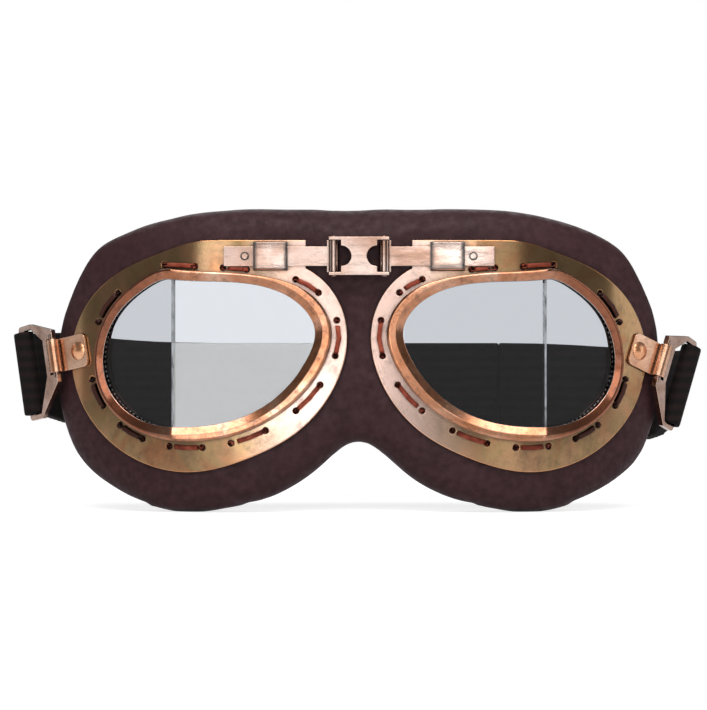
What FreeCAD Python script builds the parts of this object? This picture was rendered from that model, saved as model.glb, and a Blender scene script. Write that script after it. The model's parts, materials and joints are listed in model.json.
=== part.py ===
import FreeCAD, Part
import math
import os

import Sketcher
from FreeCAD import Matrix, Placement, Rotation, Vector

# Aviator goggles: two copper eye frames laced to one padded leather mask, joined by a
# telescoping bridge and held on by an elastic strap. Millimetres and degrees.
# X runs across the face, Y from front to back, Z up. The lobes of the mask stand on Z = 0.

sizes = {
    # Lens opening, seen from the front
    "eye_x": 43.8,
    "eye_z": 46.5,
    "lens_width": 62.0,
    "lens_height": 42.7,
    # Glass: a front pane and a side pane that meet at the split
    "split_offset": 10.6,
    "lens_turn": 27.0,
    "lens_thickness": 2.0,
    "lens_lap": 1.2,
    "lens_clearance": 0.25,
    "divider_width": 0.6,
    # Rolled rim that clamps the glass
    "rim_rise": 5.5,
    "rim_depth": 3.3,
    "rim_lip": 1.9,
    "rim_band": 4.0,
    "rim_bend": 6.0,
    "rim_round": 0.7,
    "rim_slope_width": 2.2,
    "rim_slope_depth": 1.0,
    # Rubber gasket behind the glass and the cloth sleeve of the eye hole
    "gasket_depth": 1.0,
    "sleeve_thickness": 0.6,
    # Drawn frame: cup wall and curved flange
    "sheet": 0.9,
    "cup_wall": 0.8,
    "flange_band": 10.0,
    "wrap_start": 34.0,
    "wrap_radius": 85.0,
    "wrap_angle": 70.0,
    "shelf_inner": 15.4,
    "shelf_outer": 41.0,
    "shelf_top": 79.3,
    "shelf_foot": 12.0,
    # Lacing through the flange
    "lace_offset": 2.1,
    "lace_width": 1.4,
    "lace_thickness": 0.75,
    "lace_lift": 0.25,
    "lace_step": 6.0,
    "lace_hole_radius": 0.9,
    "lace_leg_radius": 0.6,
    "groove_width": 4.4,
    "groove_depth": 1.3,
    # Padded mask
    "pad_half_width": 91.0,
    "pad_height": 89.2,
    "pad_gap": 0.1,
    "pad_thickness": 15.0,
    "pad_front_round": 6.0,
    "pad_back_round": 3.0,
    "cover_thickness": 1.6,
    "foam_clearance": 0.12,
    "lining_thickness": 1.2,
    "lining_inset": 3.2,
    "hole_clearance": 0.1,
    "nose_half": 8.0,
    # Bridge: two arms that slide in clips, and the link between their hinge pins
    "arm_z": 74.6,
    "arm_height": 5.6,
    "arm_sheet": 1.0,
    "arm_gap": 0.1,
    "tongue_end": 39.2,
    "head_end": 9.3,
    "barrel_radius": 1.5,
    "barrel_height": 9.2,
    "pin_x": 7.3,
    "pin_radius": 0.65,
    "pin_clearance": 0.08,
    "pin_seat": 0.03,
    "pin_head_radius": 0.95,
    "pin_head_height": 0.35,
    "link_half_width": 5.2,
    "link_sheet": 0.8,
    "link_gap": 0.25,
    "link_notch_radius": 3.0,
    "ear_gap": 0.1,
    "ear_margin": 1.4,
    "ear_back": 1.0,
    "clip_inner": 20.7,
    "clip_width": 9.9,
    "clip_sheet": 0.7,
    "clip_wall": 1.25,
    "clip_clearance": 0.15,
    "clip_round": 0.6,
    "stud_x": 33.1,
    "stud_radius": 1.2,
    "stud_height": 0.6,
    "stud_shank": 0.7,
    "stud_seat": 0.03,
    # Strap tab, riveted to the flange
    "rivet_x": 82.6,
    "rivet_z": 47.2,
    "rivet_head_radius": 2.7,
    "rivet_dome": 4.2,
    "rivet_shank": 1.0,
    "rivet_clearance": 0.05,
    "tab_half_width": 4.9,
    "tab_sheet": 0.8,
    "tab_gap": 0.12,
    "tab_inner": 3.0,
    "tab_corner": 1.6,
    "tab_reach": 8.5,
    "roll_radius": 1.9,
    "left_tab_droop": 10.5,
    "right_tab_droop": 21.0,
    # Strap loop that swings in the roll of the tab
    "loop_bar_radius": 1.0,
    "loop_bar_clearance": 0.06,
    "loop_sheet": 1.6,
    "loop_gap": 0.5,
    "loop_ear": 2.4,
    "loop_strip": 1.6,
    "loop_drop": 3.0,
    "loop_reach": 14.4,
    "loop_outer_bar": 2.6,
    "loop_rail": 1.5,
    "loop_shoulder": 5.6,
    "loop_corner": 1.2,
    "left_loop_swing": 10.0,
    "right_loop_swing": 16.0,
    # Elastic strap
    "strap_width": 28.4,
    "strap_end_width": 25.0,
    "strap_thickness": 1.4,
    "strap_clearance": 0.3,
    "strap_tail": 3.0,
    "left_strap_leave": 26.0,
    "right_strap_leave": 49.0,
    "strap_back_y": 74.0,
    "strap_back_half": 45.0,
    "strap_z": 35.7,
    "strap_layer_gap": 0.2,
    # Slider that sets the length of the strap
    "slider_x": 0.0,
    "slider_half_length": 9.0,
    "slider_bar": 2.2,
    "slider_sheet": 1.4,
    "slider_gap": 0.3,
    "slider_rail": 1.8,
    "fold_leg": 5.0,
    # Length by which a cutting shape passes what it cuts
    "overrun": 120.0,
}

# Lens opening: shares of its width and height, from its middle, nose side first past the top
lens_shares = [
    (0.171, 0.5), (-0.053, 0.484), (-0.271, 0.446), (-0.439, 0.315), (-0.5, 0.16),
    (-0.461, -0.046), (-0.311, -0.308), (-0.126, -0.451), (0.1, -0.5), (0.31, -0.458),
    (0.461, -0.273), (0.5, -0.013), (0.426, 0.273), (0.302, 0.432),
]
# Width of the rim and of the flange and place of the lace at those points, as shares of their bands
rim_shares = [0.76, 0.7, 0.76, 1.1, 1.17, 1.22, 1.1, 1.05, 1.03, 0.8, 0.72, 0.68, 0.72, 0.74]
flange_shares = [0.96, 1.2, 0.98, 0.98, 0.92, 1.06, 1.17, 1.19, 1.32, 1.13, 1.0, 1.06, 0.98, 0.84]
lace_shares = [0.68, 0.66, 0.68, 0.9, 1.05, 1.1, 1.05, 1.0, 0.95, 0.85, 0.8, 0.8, 0.75, 0.7]
even_shares = [1.0] * len(lens_shares)
# Right half of the mask's outline, from the middle of the brow down to the nose notch
pad_shares = [
    (0.0, 0.991), (0.16, 0.995), (0.32, 1.0), (0.452, 0.995), (0.582, 0.978), (0.717, 0.94),
    (0.853, 0.876), (0.93, 0.77), (0.978, 0.65), (1.0, 0.46), (0.985, 0.325), (0.94, 0.2),
    (0.86, 0.11), (0.75, 0.046), (0.64, 0.008), (0.53, -0.0056), (0.42, 0.013), (0.3, 0.038),
    (0.2, 0.086), (0.11, 0.155), (0.045, 0.212), (0.0, 0.228),
]
# Lace spans on the front of the flange, as shares of the way round the stitch line
lace_span_shares = [
    (0.071, 0.105), (0.177, 0.215), (0.263, 0.315), (0.362, 0.413), (0.465, 0.518),
    (0.56, 0.608), (0.649, 0.688), (0.726, 0.768), (0.853, 0.905), (0.986, 1.03),
]
# Handles of the strap's curve at the loop and at the back, as shares of its span
strap_handle_shares = (0.34, 0.5)
strap_stations = 8
# Least upright share of an edge's direction at which it counts as upright
upright_share = 0.999
# Share of the way to the back over which the strap spreads from the loop to its full width
strap_spread_share = 0.25

doc = FreeCAD.newDocument("Goggles")
sheet = doc.addObject("Spreadsheet::Sheet", "Sizes")
for row, (alias, value) in enumerate(sizes.items(), start=1):
    sheet.set("A%d" % row, alias)
    sheet.set("B%d" % row, str(value))
    sheet.setAlias("B%d" % row, alias)
doc.recompute()

nodes = {}


def mm(alias):
    return float(sheet.get(alias))


def add_node(name, obj):
    obj.Label = name
    nodes[name] = obj


def add_shape(name, shape):
    obj = doc.addObject("Part::Feature", name)
    obj.Shape = shape
    obj.Placement = home
    add_node(name, obj)


def mirrored(shape):
    return shape.mirror(Vector(0, 0, 0), Vector(1, 0, 0))


def add_pair(name, shape):
    add_shape("right_" + name, shape)
    add_shape("left_" + name, mirrored(shape))


# Outlines are closed curves in the XZ plane

def closed_curve(points):
    curve = Part.BSplineCurve()
    curve.interpolate(Points=points, PeriodicFlag=True)
    return curve


def grown(points, amount, shares):
    curve = closed_curve(points)
    moved = []
    for point, share in zip(points, shares):
        along = curve.tangent(curve.parameter(point))[0]
        outward = Vector(along.z, 0, -along.x)
        moved.append(point + outward * (amount * share))
    return moved


def prism(points):
    reach = mm("overrun")
    edge = closed_curve(points).toShape()
    face = Part.Face(Part.Wire([edge]))
    face.translate(Vector(0, -reach, 0))
    return face.extrude(Vector(0, 2 * reach, 0))


def ring(outer_points, inner_points):
    return prism(outer_points).cut(prism(inner_points))


# Bent layers are strips of the XY plane, pulled up along Z

def bent_line(start, front, radius, angle, depth):
    turn = math.radians(angle)
    arm = radius - depth
    middle = turn / 2
    first = Vector(0, front + depth, 0)
    bend = Vector(start, front + depth, 0)
    half = Vector(start + arm * math.sin(middle), front + radius - arm * math.cos(middle), 0)
    leave = Vector(start + arm * math.sin(turn), front + radius - arm * math.cos(turn), 0)
    last = leave + Vector(math.cos(turn), math.sin(turn), 0) * mm("overrun")
    edges = [
        Part.LineSegment(first, bend).toShape(),
        Part.Arc(bend, half, leave).toShape(),
        Part.LineSegment(leave, last).toShape(),
    ]
    return edges, first, last


def pulled_up(face):
    reach = mm("overrun")
    face.translate(Vector(0, 0, -reach))
    return face.extrude(Vector(0, 0, 3 * reach))


def layer(line, near, far):
    near_edges, near_first, near_last = bent_line(*line, near)
    far_edges, far_first, far_last = bent_line(*line, far)
    ends = [
        Part.LineSegment(near_last, far_last).toShape(),
        Part.LineSegment(far_first, near_first).toShape(),
    ]
    edges = Part.__sortEdges__(near_edges + far_edges + ends)
    return pulled_up(Part.Face(Part.Wire(edges)))


def polygon(points):
    return Part.Face(Part.makePolygon(points + points[:1]))


lens_turn = math.radians(mm("lens_turn"))
split_x = mm("eye_x") + mm("split_offset")
rim_start = split_x - mm("rim_bend") * math.tan(lens_turn / 2)
flange_line = (mm("wrap_start"), 0.0, mm("wrap_radius"), mm("wrap_angle"))
rim_line = (rim_start, -mm("rim_rise"), mm("rim_bend"), mm("lens_turn"))

lens_points = [
    Vector(mm("eye_x") + mm("lens_width") * across, 0, mm("eye_z") + mm("lens_height") * up)
    for across, up in lens_shares
]
rim_points = grown(lens_points, mm("rim_band"), rim_shares)
flange_points = grown(lens_points, mm("flange_band"), flange_shares)
glass_points = grown(lens_points, mm("lens_lap"), even_shares)
seat_points = grown(lens_points, mm("lens_lap") + mm("lens_clearance"), even_shares)
wall_points = grown(rim_points, -mm("cup_wall"), even_shares)
sleeve_points = grown(seat_points, -mm("sleeve_thickness") - mm("hole_clearance"), even_shares)
sleeve_outer_points = grown(seat_points, -mm("hole_clearance"), even_shares)
hole_points = grown(seat_points, mm("hole_clearance"), even_shares)
stitch_points = grown(rim_points, mm("lace_offset"), lace_shares)
in_front = -mm("overrun")


# Rim: a band with a lip over the glass and a rabbet behind it

def rim_front_edges(body, inner):
    near = mm("rim_lip") / 100
    front = layer(rim_line, in_front, 0.0)
    middle_points = grown(lens_points, mm("rim_band") / 2, rim_shares)
    inside = Part.Face(Part.Wire([closed_curve(middle_points).toShape()]))
    edges = []
    for edge in body.Edges:
        point = edge.valueAt((edge.FirstParameter + edge.LastParameter) / 2)
        if edge.Length < mm("rim_lip") or front.distToShape(Part.Vertex(point))[0] > near:
            continue
        flat = Part.Vertex(Vector(point.x, 0, point.z))
        is_inner = inside.distToShape(flat)[0] < near
        face_on = all(front.distToShape(vertex)[0] < near for vertex in edge.Vertexes)
        joins_both = any(
            inside.distToShape(Part.Vertex(Vector(vertex.X, 0, vertex.Z)))[0] < near
            for vertex in edge.Vertexes) != is_inner
        if is_inner == inner and face_on and not joins_both:
            edges.append(edge)
    return edges


def make_rim():
    lip = ring(rim_points, lens_points).common(layer(rim_line, 0.0, mm("rim_lip")))
    skirt = ring(rim_points, seat_points).common(layer(rim_line, mm("rim_lip"), mm("rim_depth")))
    body = lip.fuse(skirt).removeSplitter()
    body = body.makeFillet(mm("rim_round"), rim_front_edges(body, False))
    slope = (mm("rim_slope_width"), mm("rim_slope_depth"))
    return body.makeChamfer(*slope, rim_front_edges(body, True))


# Glass: two flat panes cut to the same outline, with a strip between them

def pane_corner(depth, shift):
    corner = Vector(split_x - depth * math.tan(lens_turn / 2), depth - mm("rim_rise"), 0)
    if shift < 0:
        return corner + Vector(shift, 0, 0)
    return corner + Vector(math.cos(lens_turn), math.sin(lens_turn), 0) * shift


def make_glass():
    front = mm("rim_lip") + mm("lens_clearance")
    back = front + mm("lens_thickness")
    half = mm("divider_width") / 2
    reach = mm("overrun")
    away = Vector(math.cos(lens_turn), math.sin(lens_turn), 0) * reach
    flat = polygon([
        Vector(0, front - mm("rim_rise"), 0),
        pane_corner(front, -half),
        pane_corner(back, -half),
        Vector(0, back - mm("rim_rise"), 0),
    ])
    side = polygon([
        pane_corner(front, half),
        pane_corner(front, half) + away,
        pane_corner(back, half) + away,
        pane_corner(back, half),
    ])
    strip = polygon([
        pane_corner(front, -half),
        pane_corner(front, 0),
        pane_corner(front, half),
        pane_corner(back, half),
        pane_corner(back, 0),
        pane_corner(back, -half),
    ])
    outline = prism(glass_points)
    add_pair("front_lens", outline.common(pulled_up(flat)))
    add_pair("side_lens", outline.common(pulled_up(side)))
    add_pair("lens_divider", outline.common(pulled_up(strip)))
    gasket_front = back + mm("lens_clearance")
    gasket_back = gasket_front + mm("gasket_depth")
    gasket = ring(sleeve_outer_points, lens_points).common(layer(rim_line, gasket_front, gasket_back))
    add_pair("lens_gasket", gasket)
    return gasket_back


# Lace holes stand square to the flange on the stitch line

stitch_curve = closed_curve(stitch_points)


def stitch_point(share):
    length = stitch_curve.length() * (share % 1.0)
    return stitch_curve.value(stitch_curve.parameterAtDistance(length, stitch_curve.FirstParameter))


def flange_place(x):
    turn = math.asin(max(0.0, x - mm("wrap_start")) / mm("wrap_radius"))
    return mm("wrap_radius") * (1 - math.cos(turn)), turn


def lace_place(share, depth):
    point = stitch_point(share)
    rise, turn = flange_place(point.x)
    inward = Vector(-math.sin(turn), math.cos(turn), 0)
    return Vector(point.x, rise, point.z) + inward * depth, inward


def lace_posts(radius, front, back):
    posts = []
    for span in lace_span_shares:
        for share in span:
            foot, inward = lace_place(share, front)
            posts.append(Part.makeCylinder(radius, back - front, foot, inward))
    return posts


# Frame: the curved flange with its shelf for the clip, and the cup wall up to the rim

def make_frame():
    reach = mm("overrun")
    outline = prism(flange_points)
    shelf = Part.makeBox(
        mm("shelf_outer") - mm("shelf_inner"), 2 * reach, mm("shelf_foot"),
        Vector(mm("shelf_inner"), -reach, mm("shelf_top") - mm("shelf_foot")))
    plate = outline.fuse(shelf).cut(prism(seat_points))
    plate = plate.common(layer(flange_line, 0.0, mm("sheet")))
    wall = ring(rim_points, wall_points).common(layer(flange_line, in_front, mm("sheet")))
    wall = wall.cut(layer(rim_line, in_front, mm("rim_depth")))
    body = plate.fuse(wall)
    posts = lace_posts(mm("lace_hole_radius"), -mm("lace_hole_radius"), 2 * mm("sheet"))
    body = body.cut(posts)
    depth, turn = flange_place(mm("rivet_x"))
    inward = Vector(-math.sin(turn), math.cos(turn), 0)
    rivet = Vector(mm("rivet_x"), depth, mm("rivet_z")) - inward * mm("sheet")
    bore = mm("rivet_shank") + mm("rivet_clearance")
    body = body.cut(Part.makeCylinder(bore, 3 * mm("sheet"), rivet, inward))
    return body.removeSplitter()


# Lacing: one lace that runs over the flange and back under it, hole by hole

def lace_strip(first, last, depth):
    start, inward = lace_place(first, depth)
    finish = lace_place(last, depth)[0]
    heading = (finish - start).normalize()
    across = heading.cross(inward).normalize()
    facing = across.cross(heading).normalize()
    overlap = mm("lace_leg_radius")
    corners = []
    for wide, thick in ((-1, -1), (1, -1), (1, 1), (-1, 1)):
        side = across * (wide * mm("lace_width") / 2)
        corners.append(start - heading * overlap + side + facing * (thick * mm("lace_thickness") / 2))
    return polygon(corners).extrude(finish - start + heading * (2 * overlap))


def lace_run(first, last, depth):
    count = math.ceil(stitch_curve.length() * (last - first) / mm("lace_step"))
    step = (last - first) / count
    return [lace_strip(first + step * index, first + step * (index + 1), depth) for index in range(count)]


def make_lacing():
    over = -mm("lace_lift") - mm("lace_thickness") / 2
    under = mm("sheet") - over
    pieces = lace_posts(mm("lace_leg_radius"), over, under)
    for index, (first, last) in enumerate(lace_span_shares):
        following = lace_span_shares[(index + 1) % len(lace_span_shares)][0]
        if following < last - 1.0:
            following += 2.0
        elif following < last:
            following += 1.0
        pieces += lace_run(first, last, over)
        pieces += lace_run(last, following, under)
    lacing = pieces[0].fuse(pieces[1:])
    arm_foot = mm("arm_z") - mm("arm_height") / 2 - mm("lace_lift")
    reach = mm("overrun")
    arm_room = Part.makeBox(
        mm("tongue_end") + mm("lace_width"), reach, mm("arm_height"), Vector(0, -reach, arm_foot))
    return lacing.cut(arm_room)


# Mask: leather cover, foam and lining, each in a left, a nose and a right section

pad_points = [
    Vector(mm("pad_half_width") * across, 0, mm("pad_height") * up) for across, up in pad_shares
]
pad_loop = pad_points + [Vector(-point.x, 0, point.z) for point in pad_points[-2:0:-1]]
pad_loop.reverse()
pad_even_shares = [1.0] * len(pad_loop)
pad_front = mm("sheet") + mm("pad_gap")
pad_back = pad_front + mm("pad_thickness")


def both_sides(shape):
    return shape.fuse(mirrored(shape)).removeSplitter()


def pad_block(inset, front, back, front_round, back_round):
    block = prism(grown(pad_loop, -inset, pad_even_shares))
    block = block.common(both_sides(layer(flange_line, front, back)))
    limit = mm("pad_gap") / 10
    for depth, radius in ((front, front_round), (back, back_round)):
        if radius == 0:
            continue
        guide = both_sides(layer(flange_line, depth - limit, depth + limit))
        edges = []
        for edge in block.Edges:
            ends = [edge.valueAt(edge.FirstParameter), edge.valueAt(edge.LastParameter)]
            middle = edge.valueAt((edge.FirstParameter + edge.LastParameter) / 2)
            near = [guide.isInside(point, limit, True) for point in ends + [middle]]
            upright_edge = abs(edge.tangentAt(edge.FirstParameter).z) > upright_share
            if all(near) and not (upright_edge and edge.Length > mm("pad_half_width") / 2):
                edges.append(edge)
        block = block.makeFillet(radius, edges)
    return block


def eye_holes(points):
    hole = prism(points)
    return [hole, mirrored(hole)]


def pad_sections(name, block):
    reach = mm("overrun")
    block = block.common(Part.makeBox(4 * reach, 4 * reach, 2 * reach, Vector(-2 * reach, -2 * reach, 0)))
    nose = mm("nose_half")
    left = Part.makeBox(2 * reach, 4 * reach, 2 * reach, Vector(-2 * reach - nose, -2 * reach, 0))
    middle = Part.makeBox(2 * nose, 4 * reach, 2 * reach, Vector(-nose, -2 * reach, 0))
    right = Part.makeBox(2 * reach, 4 * reach, 2 * reach, Vector(nose, -2 * reach, 0))
    add_shape("left_" + name, block.common(left))
    add_shape("nose_" + name, block.common(middle))
    add_shape("right_" + name, block.common(right))


def make_mask():
    skin = mm("cover_thickness")
    spare = mm("foam_clearance")
    outer = pad_block(0.0, pad_front, pad_back, mm("pad_front_round"), mm("pad_back_round"))
    cavity = pad_block(skin, pad_front + skin, pad_back + skin, mm("pad_front_round") - skin, 0)
    cover = outer.cut(cavity).cut(eye_holes(hole_points))
    half = mm("groove_width") / 2
    groove = ring(grown(stitch_points, half, even_shares), grown(stitch_points, -half, even_shares))
    groove = groove.common(layer(flange_line, in_front, pad_front + mm("groove_depth")))
    cover = cover.cut([groove, mirrored(groove)])
    pad_sections("pad_cover", cover)
    foam_inset = skin + spare
    foam = pad_block(
        foam_inset, pad_front + foam_inset, pad_back - spare, mm("pad_front_round") - foam_inset, 0)
    trim = pad_block(
        mm("lining_inset"), pad_front, pad_back - spare, 0, 0)
    foam = foam.common(trim).cut(eye_holes(hole_points))
    pad_sections("pad_foam", foam)
    lining = pad_block(mm("lining_inset"), pad_back, pad_back + mm("lining_thickness"), 0, 0)
    lining = lining.cut(eye_holes(hole_points))
    pad_sections("pad_lining", lining)


# Cloth sleeve that lines the eye hole from the gasket to the back of the mask

def make_sleeve(gasket_back):
    sleeve = ring(sleeve_outer_points, sleeve_points)
    sleeve = sleeve.common(layer(flange_line, in_front, pad_back))
    return sleeve.cut(layer(rim_line, in_front, gasket_back + mm("hole_clearance")))


# Bridge pieces are boxes and cylinders bound to the sheet

def bind(obj, bindings):
    for prop, expression in bindings.items():
        obj.setExpression(prop, expression)
    return obj


def bound_box(name, length, width, height, x, y, z):
    return bind(doc.addObject("Part::Box", name), {
        "Length": length, "Width": width, "Height": height,
        ".Placement.Base.x": x, ".Placement.Base.y": y, ".Placement.Base.z": z})


def bound_cylinder(name, radius, height, x, y, z, turn=None):
    obj = doc.addObject("Part::Cylinder", name)
    if turn:
        obj.Placement = Placement(Vector(), turn)
    return bind(obj, {
        "Radius": radius, "Height": height,
        ".Placement.Base.x": x, ".Placement.Base.y": y, ".Placement.Base.z": z})


def fused(name, pieces):
    obj = doc.addObject("Part::MultiFuse", name)
    obj.Shapes = pieces
    obj.Refine = True
    return obj


def cut_from(name, base, tools):
    tool = tools[0]
    if len(tools) > 1:
        tool = fused(name + "_tools", tools)
    obj = doc.addObject("Part::Cut", name)
    obj.Base = base
    obj.Tool = tool
    obj.Refine = True
    return obj


def opposite(name, source):
    obj = doc.addObject("Part::Mirroring", name)
    obj.Source = source
    obj.Base = Vector(-side_centre, 0, 0)
    obj.Normal = Vector(1, 0, 0)
    return obj


def finished(name, obj):
    obj.Placement = home
    add_node(name, obj)


towards_back = Rotation(Vector(1, 0, 0), -90)
barrel_y = "-(Sizes.arm_gap + Sizes.barrel_radius)"
link_front = "-(Sizes.arm_gap + 2 * Sizes.barrel_radius + Sizes.link_gap + Sizes.link_sheet)"
link_half_height = "(Sizes.barrel_height / 2 + Sizes.ear_gap + Sizes.link_sheet)"


def make_arm():
    stem = bound_box(
        "arm_stem", "Sizes.tongue_end - Sizes.pin_x", "Sizes.arm_sheet", "Sizes.arm_height",
        "Sizes.pin_x", "-(Sizes.arm_gap + Sizes.arm_sheet)", "Sizes.arm_z - Sizes.arm_height / 2")
    head = bound_box(
        "arm_head", "Sizes.head_end - Sizes.pin_x", "Sizes.arm_sheet", "Sizes.barrel_height",
        "Sizes.pin_x", "-(Sizes.arm_gap + Sizes.arm_sheet)", "Sizes.arm_z - Sizes.barrel_height / 2")
    barrel = bound_cylinder(
        "arm_barrel", "Sizes.barrel_radius", "Sizes.barrel_height",
        "Sizes.pin_x", barrel_y, "Sizes.arm_z - Sizes.barrel_height / 2")
    bore = bound_cylinder(
        "arm_bore", "Sizes.pin_radius + Sizes.pin_clearance", "2 * Sizes.barrel_height",
        "Sizes.pin_x", barrel_y, "Sizes.arm_z - Sizes.barrel_height")
    stud_hole = bound_cylinder(
        "arm_stud_hole", "Sizes.stud_shank + Sizes.stud_seat", "4 * Sizes.arm_sheet",
        "Sizes.stud_x", "-3 * Sizes.arm_sheet", "Sizes.arm_z", towards_back)
    arm = cut_from("bridge_arm", fused("arm_blank", [stem, head, barrel]), [bore, stud_hole])
    return arm


def make_stud():
    head = bound_cylinder(
        "stud_head", "Sizes.stud_radius", "Sizes.stud_height", "Sizes.stud_x",
        "-(Sizes.arm_gap + Sizes.arm_sheet + Sizes.stud_height)", "Sizes.arm_z", towards_back)
    shank = bound_cylinder(
        "stud_shank", "Sizes.stud_shank", "Sizes.stud_height + Sizes.arm_sheet", "Sizes.stud_x",
        "-(Sizes.arm_gap + Sizes.arm_sheet + Sizes.stud_height)", "Sizes.arm_z", towards_back)
    return fused("stop_stud", [head, shank])


def make_clip():
    depth = "(Sizes.arm_gap + Sizes.arm_sheet + Sizes.clip_clearance)"
    half = "(Sizes.arm_height / 2 + Sizes.clip_clearance)"
    block = bound_box(
        "clip_block", "Sizes.clip_width", depth + " + Sizes.clip_sheet",
        "2 * (" + half + " + Sizes.clip_wall)", "Sizes.clip_inner",
        "-(" + depth + " + Sizes.clip_sheet)", "Sizes.arm_z - " + half + " - Sizes.clip_wall")
    doc.recompute()
    rounded = doc.addObject("Part::Fillet", "clip_rounded")
    rounded.Base = block
    front = block.Shape.BoundBox.YMin
    radius = mm("clip_round")
    picked = []
    for index, edge in enumerate(block.Shape.Edges, start=1):
        box = edge.BoundBox
        if abs(box.YMax - front) < radius / 10 and box.XLength > radius:
            picked.append((index, radius, radius))
    rounded.Edges = picked
    channel = bound_box(
        "clip_channel", "2 * Sizes.clip_width", "2 * " + depth, "2 * " + half,
        "Sizes.clip_inner - Sizes.clip_width / 2", "-" + depth, "Sizes.arm_z - " + half)
    return cut_from("bridge_clip", rounded, [channel])


def make_link():
    depth = "(-1 * (" + link_front + ") + " + barrel_y + " + Sizes.ear_back)"
    plate = bound_box(
        "link_plate", "2 * Sizes.link_half_width", "Sizes.link_sheet", "2 * " + link_half_height,
        "-Sizes.link_half_width", link_front, "Sizes.arm_z - " + link_half_height)
    ears = []
    for name, z in (
            ("top", "Sizes.arm_z + Sizes.barrel_height / 2 + Sizes.ear_gap"),
            ("bottom", "Sizes.arm_z - " + link_half_height)):
        ears.append(bound_box(
            "link_ear_" + name, "2 * (Sizes.pin_x + Sizes.ear_margin)", depth, "Sizes.link_sheet",
            "-(Sizes.pin_x + Sizes.ear_margin)", link_front, z))
    cuts = []
    for name, sign in (("left", "-1"), ("right", "1")):
        cuts.append(bound_cylinder(
            "link_notch_" + name, "Sizes.link_notch_radius", "4 * Sizes.link_sheet",
            sign + " * Sizes.link_half_width", link_front + " - Sizes.link_sheet", "Sizes.arm_z",
            towards_back))
        cuts.append(bound_cylinder(
            "link_bore_" + name, "Sizes.pin_radius + Sizes.pin_seat", "4 * Sizes.barrel_height",
            sign + " * Sizes.pin_x", barrel_y, "Sizes.arm_z - 2 * Sizes.barrel_height"))
    return cut_from("bridge_link", fused("link_blank", [plate] + ears), cuts)


def make_pin(side, sign):
    x = sign + " * Sizes.pin_x"
    foot = "Sizes.arm_z - " + link_half_height
    shank = bound_cylinder(
        side + "_pin_shank", "Sizes.pin_radius", "2 * " + link_half_height, x, barrel_y, foot)
    low = bound_cylinder(
        side + "_pin_low_head", "Sizes.pin_head_radius", "Sizes.pin_head_height", x, barrel_y,
        foot + " - Sizes.pin_head_height")
    high = bound_cylinder(
        side + "_pin_high_head", "Sizes.pin_head_radius", "Sizes.pin_head_height", x, barrel_y,
        "Sizes.arm_z + " + link_half_height)
    return fused(side + "_hinge_pin", [shank, low, high])


def make_bridge():
    for name, obj in (
            ("bridge_arm", make_arm()), ("stop_stud", make_stud()), ("bridge_clip", make_clip())):
        finished("right_" + name, obj)
        add_node("left_" + name, opposite("left_" + name, obj))
    finished("bridge_link", make_link())
    finished("left_hinge_pin", make_pin("left", "-1"))
    finished("right_hinge_pin", make_pin("right", "1"))
    doc.recompute()


# Frames of the strap fittings: along the tab, across it, and square to the flange

def place_from(origin, along, across, square):
    return Placement(Matrix(
        along.x, across.x, square.x, origin.x,
        along.y, across.y, square.y, origin.y,
        along.z, across.z, square.z, origin.z,
        0, 0, 0, 1))


def tab_frame(side):
    sign = -1 if side == "left" else 1
    depth, turn = flange_place(mm("rivet_x"))
    droop = math.radians(mm(side + "_tab_droop"))
    outward = Vector(sign * math.cos(turn), math.sin(turn), 0)
    square = Vector(sign * math.sin(turn), -math.cos(turn), 0)
    up = Vector(0, 0, 1)
    along = outward * math.cos(droop) - up * math.sin(droop)
    across = square.cross(along)
    origin = Vector(sign * mm("rivet_x"), depth, mm("rivet_z"))
    return origin, along, across, square


def loop_frame(side):
    origin, along, across, square = tab_frame(side)
    swing = math.radians(mm(side + "_loop_swing"))
    roll = mm("tab_gap") + mm("roll_radius")
    hinge = origin + along * mm("tab_reach") + square * roll
    outward = along * math.cos(swing) - square * math.sin(swing)
    facing = along * math.sin(swing) + square * math.cos(swing)
    return hinge, outward, across, facing


def plane_of(body, role):
    return [item for item in body.Origin.OriginFeatures if item.Role == role][0]


def outline_sketch(body, name, role, loops):
    sketch = body.newObject("Sketcher::SketchObject", name)
    sketch.AttachmentSupport = (plane_of(body, role), [""])
    sketch.MapMode = "FlatFace"
    for corners in loops:
        first = sketch.GeometryCount
        values = []
        for across, up in corners:
            values.append(Vector(evaluate(across), evaluate(up), 0))
        count = len(values)
        for index in range(count):
            sketch.addGeometry(Part.LineSegment(values[index], values[(index + 1) % count]))
        for index in range(count):
            following = first + (index + 1) % count
            sketch.addConstraint(Sketcher.Constraint("Coincident", first + index, 2, following, 1))
        for index, (across, up) in enumerate(corners):
            for kind, expression in (("DistanceX", across), ("DistanceY", up)):
                value = evaluate(expression)
                number = sketch.addConstraint(
                    Sketcher.Constraint(kind, -1, 1, first + index, 1, value))
                sketch.setExpression("Constraints[%d]" % number, expression)
    return sketch


def evaluate(expression):
    return float(sheet.evalExpression(expression.replace("Sizes.", "")))


def pad_both_ways(body, name, sketch, length):
    pad = body.newObject("PartDesign::Pad", name)
    pad.Profile = sketch
    pad.SideType = "Symmetric"
    pad.setExpression("Length", length)
    return pad


# Tab: a plate with a roll at its outer end, turning on the rivet

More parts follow.
